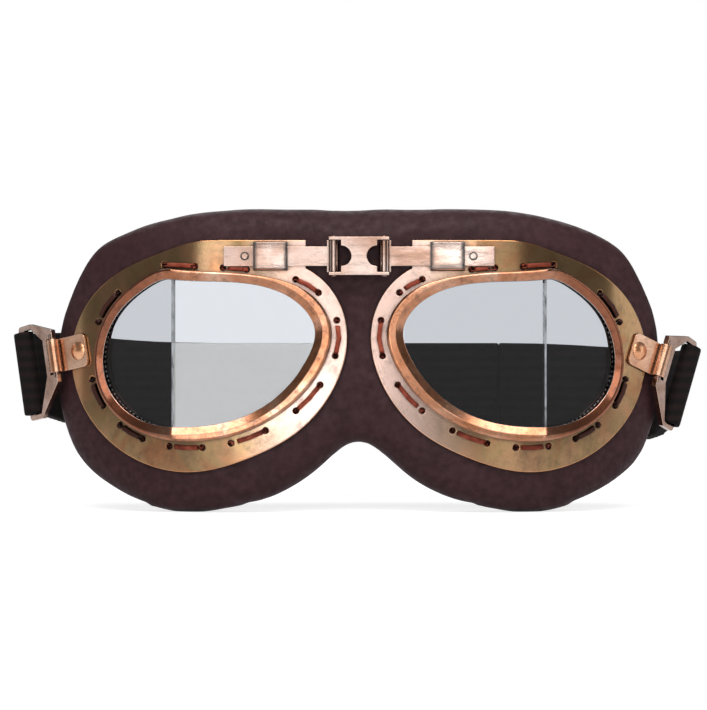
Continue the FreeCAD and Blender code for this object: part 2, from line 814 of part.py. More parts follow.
def make_tab(side):
    plate = bound_box(
        side + "_tab_plate", "Sizes.tab_inner + Sizes.tab_reach", "2 * Sizes.tab_half_width",
        "Sizes.tab_sheet", "-Sizes.tab_inner", "-Sizes.tab_half_width", "Sizes.tab_gap")
    doc.recompute()
    rounded = doc.addObject("Part::Fillet", side + "_tab_rounded")
    rounded.Base = plate
    inner = plate.Shape.BoundBox.XMin
    radius = mm("tab_corner")
    picked = []
    for index, edge in enumerate(plate.Shape.Edges, start=1):
        box = edge.BoundBox
        if abs(box.XMax - inner) < radius / 10 and box.ZLength > mm("tab_sheet") / 2:
            picked.append((index, radius, radius))
    rounded.Edges = picked
    across = Rotation(Vector(1, 0, 0), -90)
    roll_height = "Sizes.tab_gap + Sizes.roll_radius"
    roll = bound_cylinder(
        side + "_tab_roll", "Sizes.roll_radius", "2 * Sizes.tab_half_width",
        "Sizes.tab_reach", "-Sizes.tab_half_width", roll_height, across)
    bore = bound_cylinder(
        side + "_tab_bore", "Sizes.loop_bar_radius + Sizes.loop_bar_clearance",
        "4 * Sizes.tab_half_width", "Sizes.tab_reach", "-2 * Sizes.tab_half_width",
        roll_height, across)
    hole = bound_cylinder(
        side + "_tab_hole", "Sizes.rivet_shank + Sizes.rivet_clearance", "4 * Sizes.tab_sheet",
        "0", "0", "-Sizes.tab_sheet")
    tab = cut_from(side + "_strap_tab", fused(side + "_tab_blank", [rounded, roll]), [bore, hole])
    tab.Placement = home.multiply(place_from(*tab_frame(side)))
    add_node(side + "_strap_tab", tab)


def make_rivet(side):
    base = "Sizes.tab_gap + Sizes.tab_sheet + Sizes.rivet_clearance"
    shank = bound_cylinder(
        side + "_rivet_shank", "Sizes.rivet_shank", base + " + Sizes.sheet + Sizes.rivet_clearance",
        "0", "0", "-Sizes.sheet")
    lift = "sqrt(Sizes.rivet_dome ^ 2 - Sizes.rivet_head_radius ^ 2)"
    dome = bind(doc.addObject("Part::Sphere", side + "_rivet_dome"), {
        "Radius": "Sizes.rivet_dome", ".Placement.Base.z": base + " - " + lift})
    floor = bound_cylinder(
        side + "_rivet_floor", "2 * Sizes.rivet_dome", "4 * Sizes.rivet_dome",
        "0", "0", base + " - 4 * Sizes.rivet_dome")
    head = cut_from(side + "_rivet_head", dome, [floor])
    rivet = fused(side + "_tab_rivet", [head, shank])
    rivet.Placement = home.multiply(place_from(*tab_frame(side)))
    add_node(side + "_tab_rivet", rivet)


# Loop: a stamped ring that widens from the tab to the strap, on a round bar

def make_loop(side):
    body = doc.addObject("PartDesign::Body", side + "_strap_loop")
    inner = "(Sizes.tab_half_width + Sizes.loop_gap)"
    ear = "(Sizes.tab_half_width + Sizes.loop_gap + Sizes.loop_ear)"
    slot = "(Sizes.strap_end_width / 2 + Sizes.strap_clearance)"
    rail = "(Sizes.strap_end_width / 2 + Sizes.strap_clearance + Sizes.loop_rail)"
    bar = "Sizes.loop_bar_radius"
    shoulder = "(Sizes.loop_reach - Sizes.loop_shoulder)"
    end = "(Sizes.loop_reach - Sizes.loop_outer_bar)"
    clear = "(Sizes.roll_radius + Sizes.loop_gap / 2)"
    strip = "(Sizes.roll_radius + Sizes.loop_gap / 2 + Sizes.loop_strip)"
    drop = " + Sizes.loop_drop" if side == "left" else " - Sizes.loop_drop"
    low, high = "-1 * " + rail + drop, rail + drop
    slot_low, slot_high = "-1 * " + slot + drop, slot + drop
    outer = [
        ("-" + bar, "-1 * " + inner), ("-" + bar, "-1 * " + ear), (shoulder, low),
        ("Sizes.loop_reach", low), ("Sizes.loop_reach", high), (shoulder, high),
        ("-" + bar, ear), ("-" + bar, inner), (clear, inner), (clear, "-1 * " + inner),
    ]
    window = [
        (strip, inner), (shoulder, slot_high), (end, slot_high), (end, slot_low),
        (shoulder, slot_low), (strip, "-1 * " + inner),
    ]
    sketch = outline_sketch(body, side + "_loop_outline", "XY_Plane", [outer, window])
    doc.recompute()
    pad = pad_both_ways(body, side + "_loop_plate", sketch, "Sizes.loop_sheet")
    doc.recompute()
    round_edges = []
    for index, edge in enumerate(pad.Shape.Edges, start=1):
        box = edge.BoundBox
        outside = abs(box.XMax - mm("loop_reach")) < mm("loop_corner") / 10
        if outside and box.ZLength > mm("loop_sheet") / 2:
            round_edges.append("Edge%d" % index)
    fillet = body.newObject("PartDesign::Fillet", side + "_loop_corners")
    fillet.Base = (pad, round_edges)
    fillet.setExpression("Radius", "Sizes.loop_corner")
    bar_piece = body.newObject("PartDesign::AdditiveCylinder", side + "_loop_bar")
    bar_piece.setExpression("Radius", bar)
    bar_piece.setExpression("Height", "2 * (" + inner + " + Sizes.loop_ear / 2)")
    half_bar = mm("tab_half_width") + mm("loop_gap") + mm("loop_ear") / 2
    bar_piece.AttachmentOffset = Placement(Vector(0, -half_bar, 0), Rotation(Vector(1, 0, 0), -90))
    bar_piece.AttachmentSupport = (plane_of(body, "XY_Plane"), [""])
    bar_piece.MapMode = "FlatFace"
    body.Placement = home.multiply(place_from(*loop_frame(side)))
    add_node(side + "_strap_loop", body)


# Strap: folded round each loop, drawn in a curve to the back, doubled up to the slider

def strap_bar(side):
    hinge, outward, across, facing = loop_frame(side)
    middle = hinge + outward * (mm("loop_reach") - mm("loop_outer_bar") / 2)
    return middle - upright(side) * mm("loop_drop")


def strap_leaving(side):
    outward, facing = loop_frame(side)[1], loop_frame(side)[3]
    leave = math.radians(mm(side + "_strap_leave"))
    return facing * -math.cos(leave) + outward * math.sin(leave)


def fold_radii():
    corner = math.hypot(mm("loop_outer_bar") / 2, mm("loop_sheet") / 2)
    inner = corner + mm("strap_clearance") / 2
    return inner, inner + mm("strap_thickness")


def strap_section(middle, heading, across, width, thickness):
    across = (across - heading * across.dot(heading)).normalize()
    face = heading.cross(across).normalize()
    half = width / 2
    corners = []
    for wide, thick in ((-1, -1), (1, -1), (1, 1), (-1, 1)):
        corners.append(middle + across * (half * wide) + face * (thickness / 2 * thick))
    return Part.makePolygon(corners + corners[:1])


def upright(side):
    across = loop_frame(side)[2]
    return across if across.z > 0 else across * -1


def make_strap_end(side):
    bar = strap_bar(side)
    across = upright(side)
    heading = strap_leaving(side)
    inner, outer = fold_radii()
    width = mm("strap_end_width")
    foot = bar - across * (width / 2)
    fold = Part.makeCylinder(outer, width, foot, across)
    doubled = 2 * mm("strap_thickness")
    near = strap_section(bar, heading, across, width, doubled)
    far = strap_section(bar + heading * (outer + mm("strap_tail")), heading, across, width, doubled)
    tail = Part.makeLoft([near, far], True, True)
    bore = Part.makeCylinder(inner, 2 * width, bar - across * width, across)
    add_shape("strap_" + side + "_end", fold.fuse(tail).cut(bore))


def strap_layers_back():
    return 2 * mm("strap_thickness") + mm("strap_layer_gap")


def make_strap_side(side):
    sign = -1 if side == "left" else 1
    heading = strap_leaving(side)
    across = upright(side)
    start = strap_bar(side) + heading * (fold_radii()[1] + mm("strap_tail"))
    back_thick = mm("strap_thickness") if side == "left" else strap_layers_back()
    middle_y = mm("strap_back_y") + back_thick / 2
    end = Vector(sign * mm("strap_back_half"), middle_y, mm("strap_z"))
    span = (end - start).Length
    pull = start + heading * (span * strap_handle_shares[0])
    arrive = end + Vector(sign, 0, 0) * (span * strap_handle_shares[1])
    curve = Part.BezierCurve()
    curve.setPoles([start, pull, arrive, end])
    sections = []
    for station in range(strap_stations + 1):
        share = station / strap_stations
        middle = curve.value(share)
        along = curve.tangent(share)[0]
        turned = across * (1 - share) + Vector(0, 0, 1) * share
        thickness = 2 * mm("strap_thickness") * (1 - share) + back_thick * share
        spread = min(1, share / strap_spread_share)
        width = mm("strap_end_width") * (1 - spread) + mm("strap_width") * spread
        sections.append(strap_section(middle, along, turned, width, thickness))
    add_shape("strap_" + side + "_side", Part.makeLoft(sections, True, True))


def make_strap_back():
    half = mm("strap_back_half")
    foot = Vector(-half, mm("strap_back_y"), mm("strap_z") - mm("strap_width") / 2)
    add_shape("strap_back", Part.makeBox(2 * half, mm("strap_thickness"), mm("strap_width"), foot))


def slider_levels():
    thick = mm("strap_thickness")
    inner_leg = mm("strap_back_y") + thick + mm("strap_layer_gap")
    bar = inner_leg + thick + mm("slider_gap")
    outer_leg = bar + mm("slider_sheet") + mm("slider_gap")
    return inner_leg, bar, outer_leg


def make_strap_return():
    thick = mm("strap_thickness")
    inner_leg, bar, outer_leg = slider_levels()
    back = outer_leg + thick
    left = mm("slider_x") - mm("slider_bar") / 2
    middle = (inner_leg + back) / 2
    big = (back - inner_leg) / 2
    small = big - thick
    leg_end = left + mm("slider_bar") + mm("fold_leg")
    slope_start = mm("slider_x") + mm("slider_half_length")
    low = mm("strap_back_y") + thick + mm("strap_layer_gap")
    far = mm("strap_back_half")
    outline = [
        Part.LineSegment(Vector(left, back, 0), Vector(slope_start, back, 0)),
        Part.LineSegment(Vector(slope_start, back, 0), Vector(far, low + thick, 0)),
        Part.LineSegment(Vector(far, low + thick, 0), Vector(far, low, 0)),
        Part.LineSegment(Vector(far, low, 0), Vector(slope_start, outer_leg, 0)),
        Part.LineSegment(Vector(slope_start, outer_leg, 0), Vector(left, outer_leg, 0)),
        Part.Arc(
            Vector(left, outer_leg, 0), Vector(left - small, middle, 0),
            Vector(left, inner_leg + thick, 0)),
        Part.LineSegment(Vector(left, inner_leg + thick, 0), Vector(leg_end, inner_leg + thick, 0)),
        Part.LineSegment(Vector(leg_end, inner_leg + thick, 0), Vector(leg_end, inner_leg, 0)),
        Part.LineSegment(Vector(leg_end, inner_leg, 0), Vector(left, inner_leg, 0)),
        Part.Arc(
            Vector(left, inner_leg, 0), Vector(left - big, middle, 0), Vector(left, back, 0)),
    ]
    face = Part.Face(Part.Wire([edge.toShape() for edge in outline]))
    face.translate(Vector(0, 0, mm("strap_z") - mm("strap_width") / 2))
    add_shape("strap_return", face.extrude(Vector(0, 0, mm("strap_width"))))


# Slider: two rails with a bar at each end before the strap and a middle bar behind it

def make_slider():
    layers = "(2 * Sizes.strap_thickness + Sizes.strap_layer_gap + Sizes.slider_gap)"
    front = "Sizes.strap_back_y - Sizes.slider_gap - Sizes.slider_sheet"
    depth = layers + " + Sizes.slider_gap + 2 * Sizes.slider_sheet"
    half = "(Sizes.strap_width / 2 + Sizes.slider_gap)"
    foot = "Sizes.strap_z - " + half + " - Sizes.slider_rail"
    height = "2 * (" + half + " + Sizes.slider_rail)"
    start = "Sizes.slider_x - Sizes.slider_half_length"
    pieces = [
        bound_box(
            "slider_low_rail", "2 * Sizes.slider_half_length", depth, "Sizes.slider_rail",
            start, front, foot),
        bound_box(
            "slider_high_rail", "2 * Sizes.slider_half_length", depth, "Sizes.slider_rail",
            start, front, "Sizes.strap_z + " + half),
        bound_box(
            "slider_first_bar", "Sizes.slider_bar", "Sizes.slider_sheet", height, start, front, foot),
        bound_box(
            "slider_last_bar", "Sizes.slider_bar", "Sizes.slider_sheet", height,
            "Sizes.slider_x + Sizes.slider_half_length - Sizes.slider_bar", front, foot),
        bound_box(
            "slider_middle_bar", "Sizes.slider_bar", "Sizes.slider_sheet", height,
            "Sizes.slider_x - Sizes.slider_bar / 2", "Sizes.strap_back_y + " + layers, foot),
    ]
    finished("strap_slider", fused("strap_slider", pieces))


def write_parts():
    doc.recompute()
    for obj in doc.Objects:
        if "Invalid" in obj.State or "Error" in obj.State:
            raise RuntimeError("failed: " + obj.Name)
    os.makedirs("parts", exist_ok=True)
    for name, obj in nodes.items():
        shape = obj.Shape
        if shape.isNull() or not shape.isValid() or not shape.Solids:
            raise RuntimeError("no valid solid: " + name)
    for name, obj in nodes.items():
        obj.Shape.exportStep(os.path.join("parts", name + ".step"))
        print("%-22s %d solids, %.1f mm3" % (name, len(obj.Shape.Solids), obj.Shape.Volume))


# The whole part is moved so that its origin is under the middle of its width and depth

def back_reach():
    layers = 3 * mm("strap_thickness") + mm("strap_layer_gap")
    return mm("strap_back_y") + layers + 2 * mm("slider_gap") + mm("slider_sheet")


def side_reach(side):
    across = loop_frame(side)[2]
    round_reach = fold_radii()[1] * math.sqrt(1 - across.x ** 2)
    return abs(strap_bar(side).x) + round_reach + abs(across.x) * mm("strap_end_width") / 2


depth_centre = (back_reach() - mm("rim_rise")) / 2
side_centre = (side_reach("right") - side_reach("left")) / 2
home = Placement(Vector(-side_centre, -depth_centre, 0), Rotation())


add_pair("rim", make_rim())
add_pair("eye_lining", make_sleeve(make_glass()))
add_pair("frame", make_frame())
add_pair("lacing", make_lacing())
make_mask()
make_bridge()
for side in ("left", "right"):
    make_tab(side)
    make_rivet(side)
    make_loop(side)
    make_strap_end(side)
    make_strap_side(side)
make_strap_back()
make_strap_return()
make_slider()
write_parts()
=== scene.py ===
import json
import math
import bmesh
import bpy
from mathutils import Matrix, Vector, noise
from mathutils.bvhtree import BVHTree


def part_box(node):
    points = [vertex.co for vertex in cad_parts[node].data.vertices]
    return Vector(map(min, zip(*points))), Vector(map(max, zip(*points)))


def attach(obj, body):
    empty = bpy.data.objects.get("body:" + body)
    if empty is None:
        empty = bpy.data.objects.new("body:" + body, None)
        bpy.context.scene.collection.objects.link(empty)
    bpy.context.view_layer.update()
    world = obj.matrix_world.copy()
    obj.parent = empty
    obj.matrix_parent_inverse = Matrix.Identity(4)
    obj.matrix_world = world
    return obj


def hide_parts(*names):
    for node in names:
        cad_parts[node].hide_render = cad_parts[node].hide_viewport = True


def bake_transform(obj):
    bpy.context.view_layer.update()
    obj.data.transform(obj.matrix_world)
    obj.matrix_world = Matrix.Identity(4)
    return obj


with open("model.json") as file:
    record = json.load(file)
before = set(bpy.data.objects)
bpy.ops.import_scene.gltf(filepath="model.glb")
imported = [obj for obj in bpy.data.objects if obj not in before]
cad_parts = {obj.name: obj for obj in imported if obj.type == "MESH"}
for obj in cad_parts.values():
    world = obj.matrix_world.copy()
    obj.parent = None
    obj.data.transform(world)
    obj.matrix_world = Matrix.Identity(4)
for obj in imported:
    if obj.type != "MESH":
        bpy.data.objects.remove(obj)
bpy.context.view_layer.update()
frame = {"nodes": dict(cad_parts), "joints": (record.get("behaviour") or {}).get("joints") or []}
nodes = frame["nodes"]
joints = {joint["name"]: joint for joint in frame["joints"]}
noseHinge = Vector(joints["nose_flex"]["pos_m"])
mm = 0.001
hingeDepth = 8.5  # millimetres from the flanges' front beside the nose back to the hinge
flangeFront = noseHinge.y - hingeDepth * mm
eyeBend = {"turn": 27.0, "split": 54.4}  # each eye turns back by these degrees, this far from the nose
scene = bpy.context.scene
scene.view_settings.view_transform = "Standard"
print("frame loaded:", len(nodes), "nodes")


def atNose(x, y, z):  # millimetres from the middle of the nose, at the flanges' front
    return Vector((noseHinge.x + x * mm, flangeFront + y * mm, z * mm))


def linear(hexColour):  # sRGB to linear light
    values = [int(hexColour[i:i + 2], 16) / 255 for i in (1, 3, 5)]
    return [v / 12.92 if v <= 0.04045 else ((v + 0.055) / 1.055) ** 2.4 for v in values] + [1.0]


# materials

def newMaterial(name):
    material = bpy.data.materials.new(name)
    material.use_nodes = True
    return material, material.node_tree.nodes["Principled BSDF"]


def addNode(material, kind, settings=None, values=None, links=None, stops=()):
    tree = material.node_tree
    node = tree.nodes.new("ShaderNode" + kind)
    for key, value in (settings or {}).items():
        setattr(node, key, value)
    for key, value in (values or {}).items():
        node.inputs[key].default_value = value
    for key, socket in (links or {}).items():
        tree.links.new(socket, node.inputs[key])
    for index, (position, tone) in enumerate(stops):
        bands = node.color_ramp.elements
        band = bands[index] if index < 2 else bands.new(position)  # a new ramp has two bands
        band.position = position
        band.color = linear(tone) if isinstance(tone, str) else (tone, tone, tone, 1)
    return node


def link(material, socket, target):
    material.node_tree.links.new(socket, target)


def perMetre(millimetres):  # texture scale for a feature of this real size
    return 1000 / millimetres


# share from 0 to 1 between two distances to the side of the nose, in millimetres
def awayFromNose(material, place, zeroAt, oneAt):
    across = addNode(material, "SeparateXYZ", links={"Vector": place}).outputs["X"]
    offset = addNode(material, "Math", {"operation": "SUBTRACT"}, {1: noseHinge.x}, {0: across}).outputs[0]
    distance = addNode(material, "Math", {"operation": "ABSOLUTE"}, links={0: offset}).outputs[0]
    return addNode(material, "MapRange", values={"From Min": zeroAt * mm, "From Max": oneAt * mm},
                   links={"Value": distance}).outputs["Result"]


# lacquered copper plate, brushed and aged: streaks from the brush, olive and brown stains; edges painted
# bright, partly as wear and partly as a painted highlight (on the clips dark, as painted shade); corners
# darker, partly dirt, partly painted shade
copper = {"streakWidth": 1.4, "stainSize": 17, "noseReach": (34, 16), "templeReach": (49, 62),
          "paintedEdgeFull": 0.82, "paintedEdgeNone": 0.985, "dirtAndShadeReach": 1.8, "dirtAndShadeFull": 0.25, "dirtAndShadeNone": 0.8,
          "lacquer": 0.7, "lacquerRough": 0.12, "bump": 0.14, "bumpDepth": 0.05}


def makeCopper(name, finish):
    look = dict(copper, **finish)
    material, shader = newMaterial(name)
    place = addNode(material, "TexCoord").outputs["Object"]
    brushed = addNode(material, "Mapping", values={"Scale": look["brush"]},
                      links={"Vector": place}).outputs["Vector"]
    streaks = addNode(material, "TexNoise",
                      values={"Scale": perMetre(look["streakWidth"]), "Detail": 6.0, "Roughness": 0.75},
                      links={"Vector": brushed}).outputs["Fac"]
    stains = addNode(material, "TexNoise",
                     values={"Scale": perMetre(look["stainSize"]), "Detail": 4.0, "Distortion": 1.2},
                     links={"Vector": place}).outputs["Fac"]
    plate = addNode(material, "ValToRGB", links={"Fac": stains}, stops=look["stains"]).outputs["Color"]
    # tints by distance from the nose: paler towards the nose as a painted reflection, darker towards the
    # temple as painted shade
    for part in ("nose", "temple"):
        if part in look:
            reached = awayFromNose(material, place, *look[part + "Reach"])
            plate = addNode(material, "Mix", {"data_type": "RGBA"}, {"B": linear(look[part])},
                            {"Factor": reached, "A": plate}).outputs["Result"]
    shade = addNode(material, "ValToRGB", links={"Fac": streaks}, stops=look["streaks"]).outputs["Color"]
    tinted = addNode(material, "Mix", {"data_type": "RGBA", "blend_type": "MULTIPLY"}, {"Factor": 1.0},
                     {"A": plate, "B": shade}).outputs["Result"]
    # painted edge light: where the finish's edge tone is bright it is a painted highlight (partly wear),
    # where it is dark it is painted shade
    rounded = addNode(material, "Bevel", {"samples": 12}, {"Radius": look["wear"] * mm}).outputs["Normal"]
    square = addNode(material, "NewGeometry").outputs["Normal"]
    facing = addNode(material, "VectorMath", {"operation": "DOT_PRODUCT"},
                     links={0: rounded, 1: square}).outputs["Value"]
    edge = addNode(material, "ValToRGB", links={"Fac": facing},
                   stops=[(look["paintedEdgeFull"], 1.0), (look["paintedEdgeNone"], 0.0)]).outputs["Color"]
    # mix in the painted edge tone: partly wear and painted highlight on the bright finishes, painted shade on
    # the clips and studs
    worn = addNode(material, "Mix", {"data_type": "RGBA"}, {"B": linear(look["edge"])},
                   {"Factor": edge, "A": tinted}).outputs["Result"]
    # corners darkened from occlusion: partly dirt and patina in the hollows, partly painted shade
    corner = addNode(material, "AmbientOcclusion", {"samples": 6},
                     {"Distance": look["dirtAndShadeReach"] * mm}).outputs["AO"]
    dirtAndShadeMask = addNode(material, "ValToRGB", links={"Fac": corner},
                   stops=[(look["dirtAndShadeFull"], 1.0), (look["dirtAndShadeNone"], 0.0)]).outputs["Color"]
    agedAndShaded = addNode(material, "Mix", {"data_type": "RGBA"}, {"B": linear(look["dirtAndShade"])},
                   {"Factor": dirtAndShadeMask, "A": worn}).outputs["Result"]
    link(material, agedAndShaded, shader.inputs["Base Color"])
    polished, dull = look["rough"]
    gloss = addNode(material, "ValToRGB", links={"Fac": streaks},
                    stops=[(0.3, dull), (0.7, polished)]).outputs["Color"]
    link(material, gloss, shader.inputs["Roughness"])
    shader.inputs["Metallic"].default_value = 1.0
    shader.inputs["Coat Weight"].default_value = look["lacquer"]
    shader.inputs["Coat Roughness"].default_value = look["lacquerRough"]
    bump = addNode(material, "Bump", values={"Strength": look["bump"], "Distance": look["bumpDepth"] * mm},
                   links={"Height": streaks, "Normal": rounded})
    link(material, bump.outputs["Normal"], shader.inputs["Normal"])
    return material


# the flange's nose tint is a painted reflection: paler copper near the nose
flangeCopper = makeCopper("lacqueredBrushedCopper", {
    "stains": [(0.3, "#97653f"), (0.45, "#987a51"), (0.58, "#a67e59"), (0.72, "#b87e50")],
    "nose": "#c2a598", "streaks": [(0.32, 0.62), (0.5, 0.9), (0.66, 1.0)],
    "edge": "#ef9f6a", "dirtAndShade": "#2a170f", "wear": 0.42, "rough": (0.1, 0.2), "brush": (0.3, 1.0, 0.3)})
# the rim's temple tint is painted shade: darker red-brown towards the temple
rimCopper = makeCopper("rolledCopperRim", {
    "stains": [(0.32, "#a9683f"), (0.5, "#bb8160"), (0.68, "#d2a488")],
    "temple": "#8c4f30", "streaks": [(0.34, 0.45), (0.48, 0.85), (0.62, 1.0)],
    "edge": "#f6e0d2", "dirtAndShade": "#1e0f0a", "wear": 0.35, "rough": (0.1, 0.24), "brush": (0.6, 1.0, 0.6)})
fittingCopper = makeCopper("polishedCopperFitting", {
    "stains": [(0.32, "#93705d"), (0.5, "#b09284"), (0.68, "#c1aba0")],
    "streaks": [(0.32, 0.6), (0.5, 0.92), (0.66, 1.0)],
    "edge": "#e8c4ad", "dirtAndShade": "#20110b", "wear": 0.2, "rough": (0.08, 0.18), "brush": (0.2, 1.0, 1.0)})
clipLook = {  # the clips and studs get painted shade along their edges instead of a bright edge
    "stains": [(0.32, "#93705d"), (0.5, "#b59889"), (0.68, "#c8b3a8")],
    "streaks": [(0.32, 0.6), (0.5, 0.92), (0.66, 1.0)],
    "edge": "#1a0e0a", "dirtAndShade": "#140a07", "wear": 2.0, "rough": (0.08, 0.18), "brush": (0.2, 1.0, 1.0),
    "paintedEdgeFull": 0.968, "paintedEdgeNone": 0.995}
clipCopper = makeCopper("shadeEdgedCopperClip", clipLook)
studCopper = makeCopper("shadeEdgedCopperStud", dict(clipLook, wear=0.9))
rivetCopper = makeCopper("burnishedCopperRivet", {
    "stains": [(0.32, "#cf8a5e"), (0.5, "#dc9c70"), (0.68, "#e8b48e")],
    "streaks": [(0.32, 0.8), (0.5, 0.95), (0.66, 1.0)],
    "edge": "#f6cfae", "dirtAndShade": "#1e0f0a", "wear": 0.2, "rough": (0.22, 0.32), "brush": (1.0, 1.0, 1.0)})
tabCopper = makeCopper("satinCopperTab", {
    "stains": [(0.32, "#b98260"), (0.5, "#cd9b7b"), (0.68, "#dcb397")],
    "streaks": [(0.32, 0.7), (0.5, 0.92), (0.66, 1.0)],
    "edge": "#f2bd9a", "dirtAndShade": "#2a170f", "wear": 0.25, "rough": (0.22, 0.34), "brush": (0.3, 1.0, 1.0)})


# brown cowhide, finished: fine pebble grain, a little sheen, with painted shade darkening the folds
leather = {"cloudSize": 14, "cloudShare": 0.4, "mottleSize": 2.2, "mottleShare": 0.6, "foldShadeReach": 1.4,
           "foldShadeDark": 0.06, "templeReach": (48, 64), "duller": 0.12, "shinier": 0.06, "specular": 0.22,
           "grainBump": 0.35, "grainDepth": 0.12, "creaseBump": 0.25, "creaseDepth": 0.4}


def makeLeather(name, tones, grain, rough, templeShadeTone=None):
    material, shader = newMaterial(name)
    place = addNode(material, "TexCoord").outputs["Object"]
    cells = addNode(material, "TexVoronoi", {"feature": "SMOOTH_F1"},
                    {"Scale": perMetre(grain), "Smoothness": 0.4}, {"Vector": place}).outputs["Distance"]
    cloud = addNode(material, "TexNoise",
                    values={"Scale": perMetre(leather["cloudSize"]), "Detail": 6.0, "Roughness": 0.6},
                    links={"Vector": place}).outputs["Fac"]
    mottle = addNode(material, "TexNoise", values={"Scale": perMetre(leather["mottleSize"]), "Detail": 4.0},
                     links={"Vector": place}).outputs["Fac"]
    fine = addNode(material, "Math", {"operation": "MULTIPLY"}, {1: leather["mottleShare"]},
                   {0: mottle}).outputs[0]
    tone = addNode(material, "Math", {"operation": "MULTIPLY_ADD"}, {1: leather["cloudShare"]},
                   {0: cloud, 2: fine}).outputs[0]
    hide = addNode(material, "ValToRGB", links={"Fac": tone}, stops=tones).outputs["Color"]
    # painted shade: darker towards the temple
    if templeShadeTone:
        reached = awayFromNose(material, place, *leather["templeReach"])
        hide = addNode(material, "Mix", {"data_type": "RGBA"}, {"B": linear(templeShadeTone)},
                       {"Factor": reached, "A": hide}).outputs["Result"]
    # painted shade: darker in folds and hollows, from occlusion
    foldShadeMask = addNode(material, "AmbientOcclusion", {"samples": 6},
                    {"Distance": leather["foldShadeReach"] * mm}).outputs["AO"]
    shade = addNode(material, "ValToRGB", links={"Fac": foldShadeMask},
                    stops=[(0.3, leather["foldShadeDark"]), (0.8, 1.0)]).outputs["Color"]
    shaded = addNode(material, "Mix", {"data_type": "RGBA", "blend_type": "MULTIPLY"}, {"Factor": 1.0},
                     {"A": hide, "B": shade})
    link(material, shaded.outputs["Result"], shader.inputs["Base Color"])
    polish = addNode(material, "ValToRGB", links={"Fac": mottle},
                     stops=[(0.3, rough + leather["duller"]), (0.7, rough - leather["shinier"])])
    link(material, polish.outputs["Color"], shader.inputs["Roughness"])
    shader.inputs["Specular IOR Level"].default_value = leather["specular"]
    grainBump = addNode(material, "Bump",
                        values={"Strength": leather["grainBump"], "Distance": leather["grainDepth"] * mm},
                        links={"Height": cells})
    creaseBump = addNode(material, "Bump",
                         values={"Strength": leather["creaseBump"], "Distance": leather["creaseDepth"] * mm},
                         links={"Height": cloud, "Normal": grainBump.outputs["Normal"]})
    link(material, creaseBump.outputs["Normal"], shader.inputs["Normal"])
    return material


maskLeather = makeLeather("brownCowhide", [(0.34, "#2d171a"), (0.52, "#361e21"), (0.7, "#402529")],
                          grain=0.9, rough=0.6)
# the lace gets painted shade towards the temple
laceLeather = makeLeather("redBrownLace", [(0.34, "#5a2016"), (0.52, "#933f2a"), (0.7, "#b65f45")],
                          grain=0.7, rough=0.46, templeShadeTone="#3c1d15")


# clear float glass, polished on both faces
def makeGlass():
    material, shader = newMaterial("clearGlass")
    shader.inputs["Base Color"].default_value = linear("#ced2d8")
    shader.inputs["Roughness"].default_value = 0.0
    shader.inputs["IOR"].default_value = 1.5
    shader.inputs["Transmission Weight"].default_value = 1.0
    return material


clearGlass = makeGlass()


# plain materials: one mottling gives the colour and, where it can be felt, the bump
def makeMottled(name, look):
    material, shader = newMaterial(name)
    place = addNode(material, "TexCoord").outputs["Object"]
    mottle = addNode(material, "TexNoise", values={"Scale": perMetre(look["size"]), "Detail": look["detail"]},
                     links={"Vector": place}).outputs["Fac"]
    tone = addNode(material, "ValToRGB", links={"Fac": mottle}, stops=look["tones"])
    link(material, tone.outputs["Color"], shader.inputs["Base Color"])
    shader.inputs["Roughness"].default_value = look["rough"]
    if "bump" in look:
        bump = addNode(material, "Bump",
                       values={"Strength": look["bump"], "Distance": look["bumpDepth"] * mm},
                       links={"Height": mottle})
        link(material, bump.outputs["Normal"], shader.inputs["Normal"])
    return material


# moulded black rubber: dull, faintly mottled
blackRubber = makeMottled("mouldedBlackRubber", {
    "size": 1.5, "detail": 4.0, "tones": [(0.35, "#0d0c0d"), (0.7, "#1b191b")], "rough": 0.55,
    "bump": 0.15, "bumpDepth": 0.08})
# grey sealant bead between the panes: smooth and shiny, a little cloudy
sealant = makeMottled("smoothGreySealant", {
    "size": 4, "detail": 3.0, "tones": [(0.35, "#5b5d61"), (0.65, "#a3a6ab")], "rough": 0.2})
# waxed cotton thread: pale, dull, a little uneven, with its fuzz drawn coarse enough to show
paleThread = makeMottled("waxedPaleThread", {
    "size": 0.5, "detail": 2.0, "tones": [(0.3, "#a9a39a"), (0.7, "#dcd7cd")], "rough": 0.7,
    "bump": 0.3, "bumpDepth": 0.05})
# stove enamel on steel: glossy black, slightly uneven
blackEnamel = makeMottled("blackEnamelSteel", {
    "size": 2.5, "detail": 2.0, "tones": [(0.3, "#121113"), (0.7, "#1d1b1e")], "rough": 0.28,
    "bump": 0.1, "bumpDepth": 0.1})


# short-pile black cloth: fuzzy, with a soft sheen at its edges and tufts drawn coarse enough to show
pile = {"tuftSize": 0.6, "wornSize": 16, "rough": 0.92, "sheen": 0.06, "bump": 0.5, "bumpDepth": 0.25}


